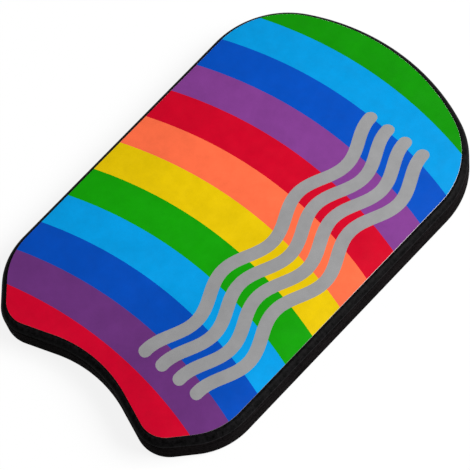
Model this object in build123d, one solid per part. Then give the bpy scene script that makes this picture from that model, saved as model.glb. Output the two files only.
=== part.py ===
from build123d import *
import os
from math import cos, radians, sin, sqrt, tan

# Swimmer's kickboard: a flat foam float with a broad round nose, nearly straight
# sides and a curved cut-out between two round lobes at the tail. It is cut from a
# laminate: a foam core glued between two thinner foam layers, with a printed film
# on top. +Y points to the nose, +Z up. The origin is in the middle of the underside.

# Outline of the nose and sides
length = 450.0
nose_arc_radius = 222.0
nose_corner_radius = 89.0
nose_half_width = 147.5
tail_half_width = 143.6
shoulder_from_tail = 46.4
shoulder_radius = 70.0

# Tail lobes and the cut-out between them
lobe_radius = 33.5
lobe_centre_x = 85.0
flank_angle = 48.4
cut_out_slope = 19.5
cut_out_radius = 129.0

# Layers, from the underside up
foam_layer_thickness = 4.7
glue_thickness = 0.4
core_thickness = 22.1
film_thickness = 0.7

# Rounded edges. The top one leaves the flat face at a slight angle
top_round_radius = 8.5
top_break_angle = 20.5
bottom_round_radius = 6.0

# The film stops short of the rounding and was laid on a little off centre
film_margin = 1.3
film_shift_x = -0.9
film_shift_y = 0.9
film_edge_break = 0.1

# Two points nearer than this are the same corner
same_point = 0.01

# Heights where one layer ends and the next begins
lower_glue_z = foam_layer_thickness
core_z = lower_glue_z + glue_thickness
upper_glue_z = core_z + core_thickness
top_layer_z = upper_glue_z + glue_thickness
film_z = top_layer_z + foam_layer_thickness

# Full rounding of the top edge, before the flat face cuts it off
blank_height = film_z + top_round_radius * (1 - cos(radians(top_break_angle)))
rounding_width = top_round_radius * (1 - sin(radians(top_break_angle)))


def nose_corner():
    """Point where the nose arc and the straight side would meet."""
    drop = nose_arc_radius - sqrt(nose_arc_radius**2 - nose_half_width**2)
    return nose_half_width, length / 2 - drop


def shoulder_corner():
    """Point where the straight side and the slanted flank of the tail would meet."""
    return tail_half_width, shoulder_from_tail - length / 2


def lobe_corner():
    """Point where the flank and the cut-out slope would meet beyond the round lobe."""
    flank = Vector(sin(radians(flank_angle)), -cos(radians(flank_angle)))
    slope = Vector(-sin(radians(cut_out_slope)), -cos(radians(cut_out_slope)))
    centre = Vector(lobe_centre_x, lobe_radius - length / 2)
    corner = centre + (flank + slope) * (lobe_radius / (1 + flank.dot(slope)))
    return corner.X, corner.Y


def cut_out_corner():
    """Point on the centre line where the two cut-out slopes would meet."""
    x, y = lobe_corner()
    return 0, y + x * tan(radians(cut_out_slope))


def round_corners(outline, corner, radius):
    """Round the corner at a point and its mirror image across the centre line."""
    x, y = corner
    pair = [
        point for point in outline.vertices()
        if abs(abs(point.X) - x) < same_point and abs(point.Y - y) < same_point
    ]
    return fillet(pair, radius)


def board_outline():
    """Outline of the board seen from above."""
    right_side = [nose_corner(), shoulder_corner(), lobe_corner()]
    left_side = [(-x, y) for x, y in reversed(right_side)]
    nose = ThreePointArc(left_side[-1], (0, length / 2), right_side[0])
    sides_and_tail = Polyline(*right_side, cut_out_corner(), *left_side)
    outline = make_face(nose + sides_and_tail)
    outline = round_corners(outline, lobe_corner(), lobe_radius)
    outline = round_corners(outline, cut_out_corner(), cut_out_radius)
    outline = round_corners(outline, shoulder_corner(), shoulder_radius)
    return round_corners(outline, nose_corner(), nose_corner_radius)


def foam_block():
    """All the foam and glue as one block with rounded edges, before it is split."""
    block = extrude(board_outline(), blank_height)
    top_edges = block.faces().sort_by(Axis.Z)[-1].edges()
    block = fillet(top_edges, top_round_radius)
    bottom_edges = block.faces().sort_by(Axis.Z)[0].edges()
    return fillet(bottom_edges, bottom_round_radius)


def layer(block, low, high):
    """The slice of the foam block between two heights."""
    slab = extrude(Rectangle(2 * length, 2 * length), high - low)
    return block & Pos(0, 0, low) * slab


def bottom_foam_layer(block):
    return layer(block, 0, lower_glue_z)


def lower_glue_line(block):
    return layer(block, lower_glue_z, core_z)


def foam_core(block):
    return layer(block, core_z, upper_glue_z)


def upper_glue_line(block):
    return layer(block, upper_glue_z, top_layer_z)


def top_foam_layer(block):
    return layer(block, top_layer_z, film_z)


def printed_film():
    """Film on the flat top, the sharp upper edge of its cut just broken."""
    outline = offset(board_outline(), -rounding_width - film_margin)
    film = extrude(outline, film_thickness)
    top_edges = film.faces().sort_by(Axis.Z)[-1].edges()
    film = chamfer(top_edges, film_edge_break)
    return Pos(film_shift_x, film_shift_y, film_z) * film


def main():
    block = foam_block()
    pieces = {
        "bottom_foam_layer": bottom_foam_layer(block),
        "lower_glue_line": lower_glue_line(block),
        "foam_core": foam_core(block),
        "upper_glue_line": upper_glue_line(block),
        "top_foam_layer": top_foam_layer(block),
        "printed_film": printed_film(),
    }
    os.makedirs("parts", exist_ok=True)
    for name, piece in pieces.items():
        export_step(piece, f"parts/{name}.step")


main()
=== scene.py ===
from math import acos, atan2, ceil, copysign, cos, degrees, pi, radians, sin, sqrt, tan

import bmesh
import bpy
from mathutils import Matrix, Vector


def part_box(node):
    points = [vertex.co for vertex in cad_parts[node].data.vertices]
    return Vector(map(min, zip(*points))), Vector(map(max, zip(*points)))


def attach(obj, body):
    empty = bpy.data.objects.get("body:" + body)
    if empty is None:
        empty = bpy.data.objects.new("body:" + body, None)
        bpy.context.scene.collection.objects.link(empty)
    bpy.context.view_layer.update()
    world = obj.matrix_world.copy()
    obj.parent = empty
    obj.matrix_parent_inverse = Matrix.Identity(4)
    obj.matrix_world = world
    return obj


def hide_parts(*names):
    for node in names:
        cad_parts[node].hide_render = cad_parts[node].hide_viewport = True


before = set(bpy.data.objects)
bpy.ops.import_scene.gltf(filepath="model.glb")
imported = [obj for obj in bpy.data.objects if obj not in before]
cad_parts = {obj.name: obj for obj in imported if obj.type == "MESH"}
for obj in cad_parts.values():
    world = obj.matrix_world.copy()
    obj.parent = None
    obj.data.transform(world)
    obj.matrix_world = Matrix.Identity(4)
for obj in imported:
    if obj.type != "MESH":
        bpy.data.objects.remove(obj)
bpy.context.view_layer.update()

# Swimmer's kickboard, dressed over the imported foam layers, glue lines and printed film.
# Lengths are in millimetres, and are turned to metres where a mesh or a pattern is made.
mm = 0.001

# Outline of the board: an arc for the nose, straight sides, slanted flanks, and a curved
# cut-out between two round lobes at the tail. Half widths are where two runs would meet
# if their corner were sharp. Angles are in degrees from a line straight across the board.
half_length = 225.0
nose_radius = 222.0
nose_half_width = 147.5
nose_corner_radius = 89.0
tail_half_width = 143.6
shoulder_from_tail = 46.4
shoulder_radius = 70.0
lobe_radius = 33.5
lobe_centre_x = 85.0
flank_angle = 48.4
cut_out_slope = 19.5
cut_out_radius = 129.0

# Longest step along an arc of the outline
outline_step = 1.5

# Rounded edges of the foam. The top one leaves the flat face at a slight angle, in
# degrees, and the lips of the foam layers are eased a little.
top_round_radius = 8.5
top_break_angle = 20.5
bottom_round_radius = 6.0
round_segments = 16
lip_easing = 0.18

# The printed film stops short of the rounding and lies a little off centre. Its ink ends
# where the rim turns down, which leaves a thin pale edge.
film_margin = 1.3
film_inset = top_round_radius * (1 - sin(radians(top_break_angle))) + film_margin
film_shift = (-0.9, 0.9, 0.0)
film_edge_round = 0.05

# Points nearer than this are one point, and heights nearer than this are one level
same_place = 0.01

# Faces that meet at more than this keep a crisp edge, in degrees
crisp_angle = 18.0

# A face is level when its unit normal points up or down by at least this much
level_face = 0.999


def heading_vector(heading):
    """Unit vector of a heading, in degrees clockwise from +X."""
    return Vector((cos(radians(heading)), -sin(radians(heading)), 0.0))


def heading_of(line):
    """Heading of a vector, in degrees clockwise from +X."""
    return degrees(atan2(-line.y, line.x)) % 360.0


def lobe_corner():
    """Point where the flank and the slope into the cut-out would meet beyond the lobe."""
    from_flank = heading_vector(90.0 - flank_angle)
    from_slope = heading_vector(90.0 + cut_out_slope)
    centre = Vector((lobe_centre_x, lobe_radius - half_length, 0.0))
    return centre + (from_flank + from_slope) * lobe_radius / (1 + from_flank.dot(from_slope))


def corner_cut(radius, turn):
    """Length that the rounding of a corner takes off each of its straights."""
    return radius * tan(radians(turn) / 2)


def outline_runs():
    """Right half of the outline, from the tip of the nose round to the middle of the tail.
    Each run is (radius, turn in degrees), or (length, 0) for a straight. A turn to the
    right is positive; the cut-out is the one that turns left."""
    nose_centre = Vector((0.0, half_length - nose_radius, 0.0))
    corner_rise = sqrt(nose_radius ** 2 - nose_half_width ** 2)
    nose_corner = nose_centre + Vector((nose_half_width, corner_rise, 0.0))
    shoulder = Vector((tail_half_width, shoulder_from_tail - half_length, 0.0))
    lobe = lobe_corner()
    cut_out = Vector((0.0, lobe.y + lobe.x * tan(radians(cut_out_slope)), 0.0))

    side_heading = heading_of(shoulder - nose_corner)
    flank_heading = heading_of(lobe - shoulder)
    slope_heading = heading_of(cut_out - lobe)
    shoulder_turn = flank_heading - side_heading
    lobe_turn = slope_heading - flank_heading

    # The arc of the nose corner touches the nose arc from inside, and then the side
    to_shoulder = shoulder - nose_centre
    radius_step = nose_radius - nose_corner_radius
    side_offset = to_shoulder.dot(heading_vector(side_heading - 90.0))
    nose_corner_turn = acos((side_offset - nose_corner_radius) / radius_step)
    side_reach = to_shoulder.dot(heading_vector(side_heading))
    side_reach += radius_step * sin(nose_corner_turn)

    shoulder_cut = corner_cut(shoulder_radius, shoulder_turn)
    lobe_cut = corner_cut(lobe_radius, lobe_turn)
    cut_out_cut = corner_cut(cut_out_radius, 2 * cut_out_slope)
    return (
        (nose_radius, side_heading - degrees(nose_corner_turn)),
        (nose_corner_radius, degrees(nose_corner_turn)),
        (side_reach - shoulder_cut, 0.0),
        (shoulder_radius, shoulder_turn),
        ((lobe - shoulder).length - shoulder_cut - lobe_cut, 0.0),
        (lobe_radius, lobe_turn),
        ((cut_out - lobe).length - lobe_cut - cut_out_cut, 0.0),
        (cut_out_radius, -cut_out_slope),
    )


def walk_run(bm, end, heading, size, turn, inset):
    """Adds one run to the outline from the vertex at its end; returns the new end and
    heading. The inset draws every run in towards the board's middle."""
    if turn == 0.0:
        grown = bmesh.ops.extrude_vert_indiv(bm, verts=[end])
        end = grown["verts"][0]
        end.co += heading_vector(heading) * size * mm
        return end, heading
    side = copysign(1.0, turn)
    radius = size - side * inset
    centre = end.co + heading_vector(heading + side * 90.0) * radius * mm
    spun = bmesh.ops.spin(
        bm,
        geom=[end],
        cent=centre,
        axis=(0.0, 0.0, -1.0),
        angle=radians(turn),
        steps=ceil(radius * abs(radians(turn)) / outline_step),
    )
    last = [piece for piece in spun["geom_last"] if isinstance(piece, bmesh.types.BMVert)]
    return last[0], heading + turn


def board_face(bm, inset, height):
    """Flat face with the board's outline, drawn in by the inset, at a height."""
    nose_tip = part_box("foam_core")[1].y
    end = bm.verts.new((0.0, nose_tip - inset * mm, height * mm))
    heading = 0.0
    for size, turn in outline_runs():
        end, heading = walk_run(bm, end, heading, size, turn, inset)
    # The walk ends on the middle line, apart from rounding errors
    end.co.x = 0.0
    half = bm.verts[:] + bm.edges[:]
    bmesh.ops.mirror(bm, geom=half, axis="X", merge_dist=same_place * mm)
    made = bmesh.ops.contextual_create(bm, geom=bm.edges[:])
    return made["faces"][0]


def thicken(bm, face, thickness):
    """Extrudes a flat face upwards and returns the face on top."""
    grown = bmesh.ops.extrude_face_region(bm, geom=[face], use_keep_orig=True)
    top = [piece for piece in grown["geom"] if isinstance(piece, bmesh.types.BMFace)]
    bmesh.ops.translate(bm, verts=top[0].verts[:], vec=(0.0, 0.0, thickness * mm))
    bmesh.ops.recalc_face_normals(bm, faces=bm.faces[:])
    return top[0]


def round_edges(bm, edges, radius, segments):
    """Rounds edges by a radius, in a number of segments."""
    bmesh.ops.bevel(
        bm,
        geom=edges,
        offset=radius * mm,
        offset_type="OFFSET",
        affect="EDGES",
        segments=segments,
        profile=0.5,
        material=-1,
    )


def foam_block():
    """The whole laminate as one block with rounded edges, before it is split."""
    bm = bmesh.new()
    film_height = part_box("top_foam_layer")[1].z / mm
    blank_height = film_height + top_round_radius * (1 - cos(radians(top_break_angle)))
    bottom = board_face(bm, 0.0, 0.0)
    top = thicken(bm, bottom, blank_height)
    round_edges(bm, top.edges[:], top_round_radius, round_segments)
    lowest = min(bm.faces, key=lambda face: face.calc_center_median().z)
    round_edges(bm, lowest.edges[:], bottom_round_radius, round_segments)
    return bm


def cut_level(bm, height, keep):
    """Cuts the block at a height, keeps what is above (1) or below (-1), closes the cut."""
    everything = bm.verts[:] + bm.edges[:] + bm.faces[:]
    cut = bmesh.ops.bisect_plane(
        bm,
        geom=everything,
        plane_co=(0.0, 0.0, height),
        plane_no=(0.0, 0.0, -keep),
        clear_outer=True,
    )
    rim = [piece for piece in cut["geom_cut"] if isinstance(piece, bmesh.types.BMEdge)]
    bmesh.ops.edgeloop_fill(bm, edges=rim)
    return rim


def layer_of(block, packed_name, eased=False):
    """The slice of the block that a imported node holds. Eased lips are rounded a little."""
    low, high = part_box(packed_name)
    bm = block.copy()
    lips = cut_level(bm, high.z, -1)
    if low.z > same_place * mm:
        lips += cut_level(bm, low.z, 1)
    if eased:
        round_edges(bm, lips, lip_easing, 2)
    bmesh.ops.recalc_face_normals(bm, faces=bm.faces[:])
    return bm


def film_sheet():
    """The film, printed on its flat top only: the rest takes the second material."""
    bm = bmesh.new()
    low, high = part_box("printed_film")
    bottom = board_face(bm, film_inset, low.z / mm)
    top = thicken(bm, bottom, (high.z - low.z) / mm)
    round_edges(bm, top.edges[:], film_edge_round, 3)
    bm.normal_update()
    for face in bm.faces:
        face.material_index = 0 if face.normal.z > level_face else 1
    bmesh.ops.translate(bm, verts=bm.verts[:], vec=Vector(film_shift) * mm)
    return bm


def finish_piece(bm, name, materials, packed_name):
    """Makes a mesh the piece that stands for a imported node."""
    mesh = bpy.data.meshes.new(name)
    bm.normal_update()
    for face in bm.faces:
        face.smooth = abs(face.normal.z) < level_face
    bm.to_mesh(mesh)
    bm.free()
    mesh.set_sharp_from_angle(angle=radians(crisp_angle))
    for material in materials:
        mesh.materials.append(material)
    piece = bpy.data.objects.new(name, mesh)
    bpy.context.scene.collection.objects.link(piece)
    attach(piece, "root")
    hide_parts(packed_name)
    return piece


def linear(srgb_hex):
    """An sRGB hex colour as linear RGBA."""
    channels = [int(srgb_hex[i:i + 2], 16) / 255 for i in (1, 3, 5)]
    return [c / 12.92 if c <= 0.04045 else ((c + 0.055) / 1.055) ** 2.4 for c in channels] + [1.0]


def node(tree, kind, inputs=None, **settings):
    """Adds a node with its settings; each input is a value or a socket to link from."""
    new = tree.nodes.new(kind)
    for name, value in settings.items():
        setattr(new, name, value)
    for socket, value in (inputs or {}).items():
        if isinstance(value, bpy.types.NodeSocket):
            tree.links.new(value, new.inputs[socket])
        else:
            new.inputs[socket].default_value = value
    return new


def new_material(name):
    """An empty material and its node tree."""
    material = bpy.data.materials.new(name)
    material.use_nodes = True
    material.node_tree.nodes.clear()
    return material, material.node_tree


# Inks of the curved bands from nose to tail, each with its width along the board's
# middle. The end bands run on past the film's edge.
bands = (
    ("#0F8F02", 60.0),  # green
    ("#0097DC", 37.3),  # light blue
    ("#004EBC", 37.4),  # blue
    ("#813D8E", 37.0),  # purple
    ("#CE0025", 36.8),  # red
    ("#FE6E46", 36.9),  # orange
    ("#E5C300", 37.1),  # yellow
    ("#119D02", 36.4),  # green
    ("#009BE2", 36.9),  # light blue
    ("#004BB7", 36.6),  # blue
    ("#693279", 36.8),  # deep purple
    ("#CE0029", 60.0),  # deep red
)

# The bands' edges are arcs of one radius along an axis, which starts a little beside the
# board's middle and is turned a little from the line down it, in degrees. The first band
# ends at this place on the axis.
band_radius = 444.6
band_origin = (11.7, -0.2)
band_turn = -0.863
first_band_end = 189.0

# Wavy stripes in grey ink along the right of the board, with round ends. They swing to
# each side by the wave height, and reach equally far both ways from their middle.
wave_ink = "#979798"
wave_length = 104.0
wave_height = 8.0
wave_width = 13.0
wave_pitch = 21.5
wave_count = 4
wave_middle = (70.0, -6.0)
wave_reach = 156.0


def band_colour(tree):
    """Colour of the curved bands: equal arcs that bulge towards the nose."""
    place = node(tree, "ShaderNodeTexCoord").outputs["Object"]
    placed = node(tree, "ShaderNodeMapping", {
        "Vector": place,
        "Location": (band_origin[0] * mm, band_origin[1] * mm, 0.0),
        "Rotation": (0.0, 0.0, radians(band_turn)),
        "Scale": (mm, mm, mm),
    }, vector_type="TEXTURE").outputs["Vector"]
    split = node(tree, "ShaderNodeSeparateXYZ", {"Vector": placed})
    across, along = split.outputs["X"], split.outputs["Y"]
    square = node(tree, "ShaderNodeMath", {0: across, 1: across}, operation="MULTIPLY").outputs[0]
    rest = node(tree, "ShaderNodeMath", {
        0: band_radius ** 2, 1: square,
    }, operation="SUBTRACT").outputs[0]
    root = node(tree, "ShaderNodeMath", {0: rest, 1: 0.5}, operation="POWER").outputs[0]
    sag = node(tree, "ShaderNodeMath", {0: band_radius, 1: root}, operation="SUBTRACT").outputs[0]
    level = node(tree, "ShaderNodeMath", {0: along, 1: sag}, operation="ADD").outputs[0]
    # One mix for each band edge; a colour ramp would put the edges up to 2 mm off
    colour, edge = linear(bands[0][0]), first_band_end
    for ink, width in bands[1:]:
        past = node(tree, "ShaderNodeMath", {0: level, 1: edge}, operation="LESS_THAN").outputs[0]
        mixed = node(tree, "ShaderNodeMix", {
            "Factor": past, "A": colour, "B": linear(ink),
        }, data_type="RGBA")
        colour, edge = mixed.outputs[2], edge - width
    return colour


def wave_mask(tree):
    """One inside the wavy stripes, nought outside them."""
    wave_rate = 2 * pi / wave_length
    place = node(tree, "ShaderNodeTexCoord").outputs["Object"]
    placed = node(tree, "ShaderNodeMapping", {
        "Vector": place,
        "Location": (wave_middle[0] * mm, wave_middle[1] * mm, 0.0),
        "Scale": (mm, mm, mm),
    }, vector_type="TEXTURE").outputs["Vector"]
    split = node(tree, "ShaderNodeSeparateXYZ", {"Vector": placed})
    across, along = split.outputs["X"], split.outputs["Y"]
    angle = node(tree, "ShaderNodeMath", {0: along, 1: wave_rate}, operation="MULTIPLY").outputs[0]
    swing = node(tree, "ShaderNodeMath", {0: angle}, operation="COSINE").outputs[0]
    shifted = node(tree, "ShaderNodeMath", {
        0: swing, 1: -wave_height, 2: across,
    }, operation="MULTIPLY_ADD").outputs[0]
    folded = node(tree, "ShaderNodeMath", {
        0: shifted, 1: wave_pitch, 2: 0.0,
    }, operation="WRAP").outputs[0]
    centred = node(tree, "ShaderNodeMath", {
        0: folded, 1: wave_pitch / 2,
    }, operation="SUBTRACT").outputs[0]
    # The steeper the wave, the more its width is stretched across the board
    sine = node(tree, "ShaderNodeMath", {0: angle}, operation="SINE").outputs[0]
    slope = node(tree, "ShaderNodeMath", {
        0: sine, 1: wave_rate * wave_height,
    }, operation="MULTIPLY").outputs[0]
    slope_square = node(tree, "ShaderNodeMath", {
        0: slope, 1: slope, 2: 1.0,
    }, operation="MULTIPLY_ADD").outputs[0]
    stretch = node(tree, "ShaderNodeMath", {0: slope_square, 1: 0.5}, operation="POWER").outputs[0]
    beside = node(tree, "ShaderNodeMath", {0: centred, 1: stretch}, operation="DIVIDE").outputs[0]
    # Beyond the reach the width closes in to a round end
    reach = node(tree, "ShaderNodeMath", {0: along}, operation="ABSOLUTE").outputs[0]
    over = node(tree, "ShaderNodeMath", {0: reach, 1: wave_reach}, operation="SUBTRACT").outputs[0]
    beyond = node(tree, "ShaderNodeMath", {0: over, 1: 0.0}, operation="MAXIMUM").outputs[0]
    offset = node(tree, "ShaderNodeCombineXYZ", {"X": beside, "Y": beyond}).outputs["Vector"]
    distance = node(tree, "ShaderNodeVectorMath", {0: offset}, operation="LENGTH").outputs["Value"]
    on_line = node(tree, "ShaderNodeMath", {
        0: distance, 1: wave_width / 2,
    }, operation="LESS_THAN").outputs[0]
    in_group = node(tree, "ShaderNodeMath", {
        0: shifted, 1: 0.0, 2: wave_count * wave_pitch / 2,
    }, operation="COMPARE").outputs[0]
    return node(tree, "ShaderNodeMath", {0: on_line, 1: in_group}, operation="MULTIPLY").outputs[0]


def printed_pe_film():
    """Polyethylene film, printed and faintly grained by its calender roll: a satin sheen
    over even, saturated ink."""
    material, tree = new_material("printed_pe_film")
    place = node(tree, "ShaderNodeTexCoord").outputs["Object"]
    inks = node(tree, "ShaderNodeMix", {
        "Factor": wave_mask(tree), "A": band_colour(tree), "B": linear(wave_ink),
    }, data_type="RGBA")
    # Ink lies a touch thicker and thinner, in patches from 25 mm across down to 1 mm
    patches = node(tree, "ShaderNodeTexNoise", {
        "Vector": place, "Scale": 1 / (25 * mm), "Detail": 5.0, "Roughness": 0.75,
    })
    tone = node(tree, "ShaderNodeMapRange", {
        "Value": patches.outputs["Fac"], "From Min": 0.3, "From Max": 0.7,
        "To Min": 0.92, "To Max": 1.08,
    }).outputs["Result"]
    toned = node(tree, "ShaderNodeHueSaturation", {"Color": inks.outputs[2], "Value": tone})
    # Handling leaves the sheen a little uneven over some 12 mm
    smudge = node(tree, "ShaderNodeTexNoise", {
        "Vector": place, "Scale": 1 / (12 * mm), "Detail": 4.0,
    })
    sheen = node(tree, "ShaderNodeMapRange", {
        "Value": smudge.outputs["Fac"], "From Min": 0.3, "From Max": 0.7,
        "To Min": 0.36, "To Max": 0.46,
    }).outputs["Result"]
    # The roll's grain is about 0.3 mm; drawn at 1 mm so that it shows
    grain = node(tree, "ShaderNodeTexNoise", {"Vector": place, "Scale": 1 / mm, "Detail": 3.0})
    relief = node(tree, "ShaderNodeBump", {
        "Height": grain.outputs["Fac"], "Strength": 0.15, "Distance": 0.03 * mm,
    })
    surface = node(tree, "ShaderNodeBsdfPrincipled", {
        "Base Color": toned.outputs["Color"], "Roughness": sheen, "IOR": 1.5,
        "Specular IOR Level": 0.16, "Normal": relief.outputs["Normal"],
    })
    node(tree, "ShaderNodeOutputMaterial", {"Surface": surface.outputs["BSDF"]})
    return material


# Along the board, the film's cut edge is painted dark as shade from the tail up to the first
#  of these places, and painted bright as a highlight from the second on to the nose
edge_shaded_to = -80.0
edge_lit_from = 20.0


def film_cut_edge():
    """The film's own white polyethylene, seen where the knife cut it, with a little random soil:
    painted bright towards the nose as a highlight, and painted dark towards the tail as shade."""
    material, tree = new_material("film_cut_edge")
    place = node(tree, "ShaderNodeTexCoord").outputs["Object"]
    along = node(tree, "ShaderNodeSeparateXYZ", {"Vector": place}).outputs["Y"]
    # Painted shade and highlight: the edge is drawn darker towards the tail and whiter towards the
    # nose
    lit_share = node(tree, "ShaderNodeMapRange", {
        "Value": along, "From Min": edge_shaded_to * mm, "From Max": edge_lit_from * mm,
        "To Max": 0.75,
    }).outputs["Result"]
    soil = node(tree, "ShaderNodeTexNoise", {"Vector": place, "Scale": 1 / (6 * mm), "Detail": 3.0})
    share = node(tree, "ShaderNodeMath", {
        0: soil.outputs["Fac"], 1: 0.2, 2: lit_share,
    }, operation="MULTIPLY_ADD").outputs[0]
    colour = node(tree, "ShaderNodeMix", {
        "Factor": share, "A": linear("#5A5653"), "B": linear("#FAF8F6"),
    }, data_type="RGBA")
    surface = node(tree, "ShaderNodeBsdfPrincipled", {
        "Base Color": colour.outputs[2], "Roughness": 0.6, "Specular IOR Level": 0.3,
    })
    node(tree, "ShaderNodeOutputMaterial", {"Surface": surface.outputs["BSDF"]})
    return material


def eva_foam_skin():
    """Black EVA foam, closed-cell, ground to a round edge: matte, with a soft lift of
    light where it turns away, and a fine even grain of opened cells."""
    material, tree = new_material("eva_foam_skin")
    place = node(tree, "ShaderNodeTexCoord").outputs["Object"]
    # Opened cells are 0.2 to 0.4 mm across; drawn at 0.9 mm so that they show
    cells = node(tree, "ShaderNodeTexVoronoi", {"Vector": place, "Scale": 1 / (0.9 * mm)})
    # Dust and wear cloud the black over some 4 mm
    cloud = node(tree, "ShaderNodeTexNoise", {
        "Vector": place, "Scale": 1 / (4 * mm), "Detail": 4.0, "Roughness": 0.8,
    })
    share = node(tree, "ShaderNodeMapRange", {
        "Value": cloud.outputs["Fac"], "From Min": 0.35, "From Max": 0.65,
    }).outputs["Result"]
    shade = node(tree, "ShaderNodeMix", {
        "Factor": share, "A": linear("#020202"), "B": linear("#161516"),
    }, data_type="RGBA")
    relief = node(tree, "ShaderNodeBump", {
        "Height": cells.outputs["Distance"], "Strength": 0.5, "Distance": 0.12 * mm,
    })
    surface = node(tree, "ShaderNodeBsdfPrincipled", {
        "Base Color": shade.outputs[2], "Roughness": 0.5, "Specular IOR Level": 0.03,
        "Normal": relief.outputs["Normal"],
    })
    node(tree, "ShaderNodeOutputMaterial", {"Surface": surface.outputs["BSDF"]})
    return material


def eva_foam_core():
    """The softer core of the same foam, its wall left as the saw cut it: level strokes
    of the blade and slightly larger open cells."""
    material, tree = new_material("eva_foam_core")
    place = node(tree, "ShaderNodeTexCoord").outputs["Object"]
    # Blade strokes are about 0.7 mm apart up the wall and run 30 mm along it
    stretched = node(tree, "ShaderNodeMapping", {
        "Vector": place, "Scale": (1 / (30 * mm), 1 / (30 * mm), 1 / (1.4 * mm)),
    }, vector_type="POINT").outputs["Vector"]
    strokes = node(tree, "ShaderNodeTexNoise", {"Vector": stretched, "Scale": 1.0, "Detail": 3.0})
    # Its cells are 0.3 to 0.5 mm across; drawn at 1.1 mm so that they show
    cells = node(tree, "ShaderNodeTexVoronoi", {"Vector": place, "Scale": 1 / (1.1 * mm)})
    # Torn cells catch light in specks of 1 to 2 mm
    specks = node(tree, "ShaderNodeTexNoise", {
        "Vector": place, "Scale": 1 / (2 * mm), "Detail": 2.0, "Roughness": 0.7,
    })
    mottle = node(tree, "ShaderNodeMath", {
        0: strokes.outputs["Fac"], 1: specks.outputs["Fac"],
    }, operation="ADD").outputs[0]
    share = node(tree, "ShaderNodeMapRange", {
        "Value": mottle, "From Min": 0.75, "From Max": 1.25,
    }).outputs["Result"]
    shade = node(tree, "ShaderNodeMix", {
        "Factor": share, "A": linear("#020202"), "B": linear("#1E1A1B"),
    }, data_type="RGBA")
    height = node(tree, "ShaderNodeMath", {
        0: strokes.outputs["Fac"], 1: 1.5, 2: cells.outputs["Distance"],
    }, operation="MULTIPLY_ADD").outputs[0]
    relief = node(tree, "ShaderNodeBump", {
        "Height": height, "Strength": 0.6, "Distance": 0.15 * mm,
    })
    surface = node(tree, "ShaderNodeBsdfPrincipled", {
        "Base Color": shade.outputs[2], "Roughness": 0.9, "Specular IOR Level": 0.01,
        "Normal": relief.outputs["Normal"],
    })
    node(tree, "ShaderNodeOutputMaterial", {"Surface": surface.outputs["BSDF"]})
    return material


# Centre of the painted shade on the glue lines at the tail's cut-out, how far round it they
#  are drawn fully dark, and from how far on they take their own colour
glue_shade_centre = (-40.0, -225.0, 28.0)
glue_shaded_to = 90.0
glue_lit_from = 140.0


def contact_glue():
    """Dried contact adhesive between the foam layers: a thin dull grey line, broken a
    little where the knife smeared it, and painted dark as shade round the cut-out."""
    material, tree = new_material("contact_glue")
    place = node(tree, "ShaderNodeTexCoord").outputs["Object"]
    smear = node(tree, "ShaderNodeTexNoise", {
        "Vector": place, "Scale": 1 / (4 * mm), "Detail": 4.0,
    })
    # Painted shade: the glue lines are drawn darker near the tail's cut-out, where little light
    # falls
    from_shade_centre = node(tree, "ShaderNodeVectorMath", {
        0: place, 1: Vector(glue_shade_centre) * mm,
    }, operation="DISTANCE").outputs["Value"]
    lit_share = node(tree, "ShaderNodeMapRange", {
        "Value": from_shade_centre, "From Min": glue_shaded_to * mm, "From Max": glue_lit_from * mm,
    }).outputs["Result"]
    share = node(tree, "ShaderNodeMath", {
        0: smear.outputs["Fac"], 1: lit_share,
    }, operation="MULTIPLY").outputs[0]
    colour = node(tree, "ShaderNodeMix", {
        "Factor": share, "A": linear("#090909"), "B": linear("#303032"),
    }, data_type="RGBA")
    surface = node(tree, "ShaderNodeBsdfPrincipled", {
        "Base Color": colour.outputs[2], "Roughness": 0.6, "Specular IOR Level": 0.04,
    })
    node(tree, "ShaderNodeOutputMaterial", {"Surface": surface.outputs["BSDF"]})
    return material


def dress_board():
    """All the board's pieces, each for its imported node."""
    skin, core, glue = eva_foam_skin(), eva_foam_core(), contact_glue()
    block = foam_block()
    bottom = layer_of(block, "bottom_foam_layer", eased=True)
    middle = layer_of(block, "foam_core", eased=True)
    top = layer_of(block, "top_foam_layer", eased=True)
    foam = (
        finish_piece(bottom, "bottom_foam", [skin], "bottom_foam_layer"),
        finish_piece(middle, "core_foam", [core], "foam_core"),
        finish_piece(top, "top_foam", [skin], "top_foam_layer"),
    )
    lower = layer_of(block, "lower_glue_line")
    upper = layer_of(block, "upper_glue_line")
    finish_piece(lower, "lower_glue", [glue], "lower_glue_line")
    finish_piece(upper, "upper_glue", [glue], "upper_glue_line")
    film = [printed_pe_film(), film_cut_edge()]
    finish_piece(film_sheet(), "top_film", film, "printed_film")
    block.free()


# White paper that lies just clear of the board's underside. The glow is the share of what
# is seen of it that is evenly white; the rest takes the shadow.
paper_half_width = 8000.0
paper_drop = 0.3
paper_glow = 0.87

# Light: grey all round, and one large soft box with its place and size in metres and its
# power in watts
surround_level = 0.14
key_place = (7.6, 6.2, 8.6)
key_width = 7.8
key_height = 6.6
key_power = 2520.0

# The camera looks down on the board from its right and a little from the tail. Its place
# is in metres, its turn in degrees, and its lens and sensor in millimetres.
camera_place = (0.7166, -0.5068, 1.6833)
camera_turn = (26.5862, 6.5864, 42.5767)
camera_lens = 153.1
camera_sensor = 36.0


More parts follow.
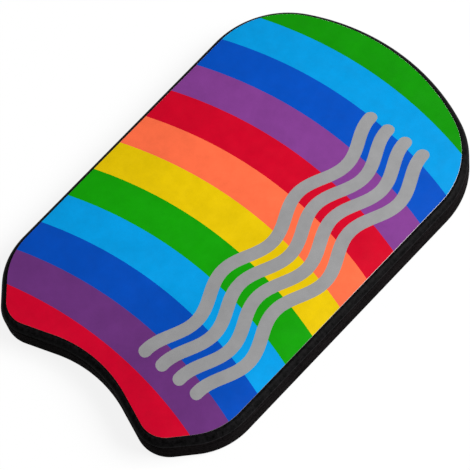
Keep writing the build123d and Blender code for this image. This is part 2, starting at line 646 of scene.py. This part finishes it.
def paper_sweep():
    """The paper under the board: seen white, it still takes the board's shadow."""
    material, tree = new_material("paper_sweep")
    seen = node(tree, "ShaderNodeLightPath")
    looked_at = node(tree, "ShaderNodeMath", {
        0: seen.outputs["Is Camera Ray"], 1: seen.outputs["Is Glossy Ray"],
    }, operation="MAXIMUM").outputs[0]
    direct = node(tree, "ShaderNodeMath", {
        0: looked_at, 1: seen.outputs["Is Transmission Ray"],
    }, operation="MAXIMUM").outputs[0]
    glow = node(tree, "ShaderNodeMath", {0: direct, 1: paper_glow}, operation="MULTIPLY").outputs[0]
    whiteness = node(tree, "ShaderNodeMix", {
        "Factor": direct, "A": linear("#BEBEBE"), "B": linear("#FFFFFF"),
    }, data_type="RGBA")
    paper = node(tree, "ShaderNodeBsdfDiffuse", {"Color": whiteness.outputs[2]})
    bright = node(tree, "ShaderNodeEmission", {"Color": (1.0, 1.0, 1.0, 1.0), "Strength": 1.0})
    mixed = node(tree, "ShaderNodeMixShader", {
        0: glow, 1: paper.outputs["BSDF"], 2: bright.outputs["Emission"],
    })
    node(tree, "ShaderNodeOutputMaterial", {"Surface": mixed.outputs["Shader"]})
    bm = bmesh.new()
    bmesh.ops.create_grid(bm, x_segments=1, y_segments=1, size=paper_half_width * mm)
    bmesh.ops.translate(bm, verts=bm.verts[:], vec=(0.0, 0.0, -paper_drop * mm))
    mesh = bpy.data.meshes.new("paper")
    bm.to_mesh(mesh)
    bm.free()
    mesh.materials.append(material)
    paper_piece = bpy.data.objects.new("paper", mesh)
    bpy.context.scene.collection.objects.link(paper_piece)


def studio_world():
    """Even soft grey light all round, seen as white."""
    world = bpy.data.worlds.new("studio")
    bpy.context.scene.world = world
    world.use_nodes = True
    tree = world.node_tree
    tree.nodes.clear()
    seen = node(tree, "ShaderNodeLightPath")
    colour = node(tree, "ShaderNodeMix", {
        "Factor": seen.outputs["Is Camera Ray"],
        "A": (surround_level, surround_level, surround_level, 1.0), "B": (1.0, 1.0, 1.0, 1.0),
    }, data_type="RGBA")
    background = node(tree, "ShaderNodeBackground", {"Color": colour.outputs[2], "Strength": 1.0})
    node(tree, "ShaderNodeOutputWorld", {"Surface": background.outputs["Background"]})


def key_light():
    """One large soft box lamp that faces the middle of the board."""
    lamp = bpy.data.lights.new("key_box", "AREA")
    lamp.shape = "RECTANGLE"
    lamp.size = key_width
    lamp.size_y = key_height
    lamp.energy = key_power
    holder = bpy.data.objects.new("key_box", lamp)
    holder.location = key_place
    holder.rotation_euler = Vector(key_place).to_track_quat("Z", "Y").to_euler()
    bpy.context.scene.collection.objects.link(holder)


def set_camera():
    """The camera, at its place and turn."""
    lens = bpy.data.cameras.new("camera")
    lens.lens = camera_lens
    lens.sensor_width = camera_sensor
    camera = bpy.data.objects.new("camera", lens)
    camera.location = camera_place
    camera.rotation_euler = [radians(angle) for angle in camera_turn]
    bpy.context.scene.collection.objects.link(camera)
    bpy.context.scene.camera = camera


dress_board()
paper_sweep()
studio_world()
key_light()
set_camera()
bpy.context.scene.view_settings.view_transform = "Standard"
